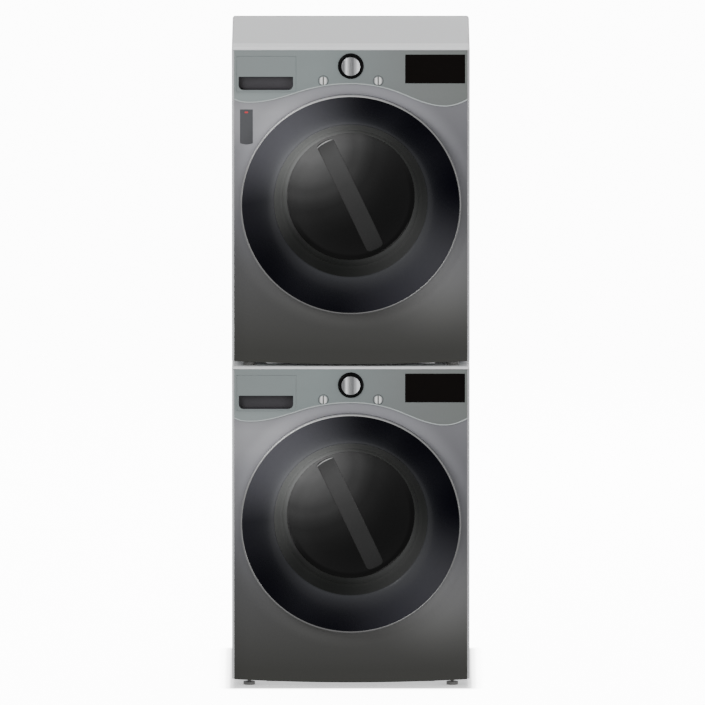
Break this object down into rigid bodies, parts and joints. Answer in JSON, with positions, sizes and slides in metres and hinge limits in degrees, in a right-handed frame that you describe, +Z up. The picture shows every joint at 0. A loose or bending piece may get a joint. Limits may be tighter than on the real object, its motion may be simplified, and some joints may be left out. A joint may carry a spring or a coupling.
{
  "type": "stacked washer and dryer",
  "caption": "Front-loading washer with a matching dryer stacked on it, graphite fronts, deep round glass doors, a dial and a drawer on each.",
  "frame": {"origin": "bottom centre of the bounding box, on the floor under the washer", "axes": "+Z up, the doors face -Y, +X to the right as seen from the front"},
  "size_m": [0.686, 0.823, 1.8588],
  "materials": {
    "cabinet_paint": "satin baked enamel",
    "graphite_steel": "graphite brushed steel with a clear coat",
    "control_paint": "greenish grey metallic paint",
    "base_steel": "black enamel",
    "dial_metal": "spun aluminium",
    "button_metal": "satin",
    "dark_plastic": "fine grained moulding",
    "pale_plastic": "smooth moulding",
    "ring_metal": "satin chrome",
    "dish_gloss": "polished black",
    "smoked_glass": "smoked and polished",
    "cast_metal": "cast and machined",
    "gasket_rubber": "soft moulded grey rubber",
    "drum_steel": "stainless, finely brushed",
    "zinc_plate": "zinc-plated sheet",
    "windings": "lacquered windings",
    "weight_iron": "rough casting",
    "spring_steel": "drawn wire",
    "bulkhead_paint": "pale enamel",
    "belt_rubber": "ribbed black rubber",
    "shaft_aluminium": "machined",
    "zinc_duct": "plain rolled sheet",
    "roller_rubber": "hard rubber tyre",
    "bezel_gloss": "polished black",
    "display_gloss": "polished black window",
    "foot_rubber": "moulded foot on a plated stem"
  },
  "bodies": {
    "cabinet": {"side_panels": "cabinet_paint", "back_panels": "cabinet_paint", "cord_glands": "dark_plastic", "front_rails": "zinc_plate", "floor_pans": "base_steel", "front_panels": "graphite_steel", "washer_control_panel": "control_paint", "washer_dispenser_box": "pale_plastic", "washer_gasket": "gasket_rubber", "washer_tub": "pale_plastic", "washer_stator": "windings", "washer_counterweights": "weight_iron", "washer_springs": "spring_steel", "washer_dampers": "dark_plastic", "washer_drain_pump": "dark_plastic", "washer_inlet_valves": "pale_plastic", "dryer_control_panel": "control_paint", "dryer_bulkhead": "bulkhead_paint", "dryer_ducts": "zinc_duct", "dryer_belt": "belt_rubber", "dryer_motor": "cast_metal", "dryer_blower_housing": "zinc_duct", "dryer_lint_filter": "dark_plastic", "top_covers": "cabinet_paint", "top_trims": "cabinet_paint", "rear_covers": "zinc_plate", "dial_bezels": "bezel_gloss", "display_modules": "display_gloss", "levelling_feet": "foot_rubber", "hinge_brackets": "zinc_plate", "door_locks": "dark_plastic", "stacking_brackets": "zinc_plate"},
    "washer_door": {"washer_door_ring": "ring_metal", "washer_door_dish": "dish_gloss", "washer_door_bowl": "smoked_glass", "washer_door_frame": "dark_plastic", "washer_hinge_arm": "cast_metal"},
    "washer_dial": {"washer_dial": "dial_metal"},
    "washer_power_button": {"washer_power_button": "button_metal"},
    "washer_start_button": {"washer_start_button": "button_metal"},
    "washer_drawer": {"washer_drawer_front": "control_paint", "washer_drawer_tray": "dark_plastic"},
    "dryer_door": {"dryer_door_ring": "ring_metal", "dryer_door_dish": "dish_gloss", "dryer_door_bowl": "smoked_glass", "dryer_door_frame": "dark_plastic", "dryer_hinge_arm": "cast_metal"},
    "dryer_dial": {"dryer_dial": "dial_metal"},
    "dryer_power_button": {"dryer_power_button": "button_metal"},
    "dryer_start_button": {"dryer_start_button": "button_metal"},
    "dryer_drawer": {"dryer_drawer_front": "control_paint", "dryer_drawer_tray": "dark_plastic"},
    "washer_drum": {"washer_drum": "drum_steel", "washer_drum_shaft": "cast_metal", "washer_rotor": "zinc_plate"},
    "dryer_drum": {"dryer_drum": "drum_steel"},
    "dryer_motor_shaft": {"dryer_motor_shaft": "shaft_aluminium"},
    "dryer_idler": {"dryer_idler": "zinc_plate"},
    "dryer_roller_left": {"dryer_roller_left": "roller_rubber"},
    "dryer_roller_right": {"dryer_roller_right": "roller_rubber"}
  },
  "joints": [
    {"name": "washer_door_hinge", "type": "hinge", "parent": "cabinet", "child": "washer_door", "pos_m": [-0.307, -0.387, 0.48], "axis": [0, 0, -1], "range_deg": [0, 110]},
    {"name": "washer_drawer_slide", "type": "slide", "parent": "cabinet", "child": "washer_drawer", "axis": [0, -1, 0], "range_m": [0, 0.2]},
    {"name": "washer_dial_turn", "type": "hinge", "parent": "cabinet", "child": "washer_dial", "pos_m": [0, -0.3765, 0.878], "axis": [0, -1, 0], "continuous": true},
    {"name": "washer_power_press", "type": "slide", "parent": "cabinet", "child": "washer_power_button", "axis": [0, 1, 0], "range_m": [0, 0.0015], "stiffness_N_per_m": 800},
    {"name": "washer_start_press", "type": "slide", "parent": "cabinet", "child": "washer_start_button", "axis": [0, 1, 0], "range_m": [0, 0.0015], "stiffness_N_per_m": 800},
    {"name": "washer_drum_turn", "type": "hinge", "parent": "cabinet", "child": "washer_drum", "pos_m": [0, -0.0665, 0.48], "axis": [0, 1, 0], "continuous": true},
    {"name": "dryer_door_hinge", "type": "hinge", "parent": "cabinet", "child": "dryer_door", "pos_m": [-0.307, -0.387, 1.4068], "axis": [0, 0, -1], "range_deg": [0, 110]},
    {"name": "dryer_drawer_slide", "type": "slide", "parent": "cabinet", "child": "dryer_drawer", "axis": [0, -1, 0], "range_m": [0, 0.2]},
    {"name": "dryer_dial_turn", "type": "hinge", "parent": "cabinet", "child": "dryer_dial", "pos_m": [0, -0.3765, 1.8048], "axis": [0, -1, 0], "continuous": true},
    {"name": "dryer_power_press", "type": "slide", "parent": "cabinet", "child": "dryer_power_button", "axis": [0, 1, 0], "range_m": [0, 0.0015], "stiffness_N_per_m": 800},
    {"name": "dryer_start_press", "type": "slide", "parent": "cabinet", "child": "dryer_start_button", "axis": [0, 1, 0], "range_m": [0, 0.0015], "stiffness_N_per_m": 800},
    {"name": "dryer_drum_turn", "type": "hinge", "parent": "cabinet", "child": "dryer_drum", "pos_m": [0, -0.0665, 1.4068], "axis": [0, 1, 0], "continuous": true},
    {"name": "dryer_motor_turn", "type": "hinge", "parent": "cabinet", "child": "dryer_motor_shaft", "pos_m": [0.215, -0.1665, 1.0478], "axis": [0, 1, 0], "continuous": true},
    {"name": "dryer_idler_swing", "type": "hinge", "parent": "cabinet", "child": "dryer_idler", "pos_m": [0.15, -0.0505, 0.9898], "axis": [0, -1, 0], "range_deg": [0, 10], "stiffness_Nm_per_rad": 20, "springref_deg": -5.73},
    {"name": "dryer_roller_left_turn", "type": "hinge", "parent": "cabinet", "child": "dryer_roller_left", "pos_m": [-0.20379, 0.3335, 1.11576], "axis": [0, 1, 0], "continuous": true},
    {"name": "dryer_roller_right_turn", "type": "hinge", "parent": "cabinet", "child": "dryer_roller_right", "pos_m": [0.20379, 0.3335, 1.11576], "axis": [0, 1, 0], "continuous": true}
  ],
  "couplings": [
    {"joint": "dryer_motor_turn", "follows": "dryer_drum_turn", "ratio": 17.778},
    {"joint": "dryer_roller_left_turn", "follows": "dryer_drum_turn", "ratio": -9.1429},
    {"joint": "dryer_roller_right_turn", "follows": "dryer_drum_turn", "ratio": -9.1429}
  ]
}
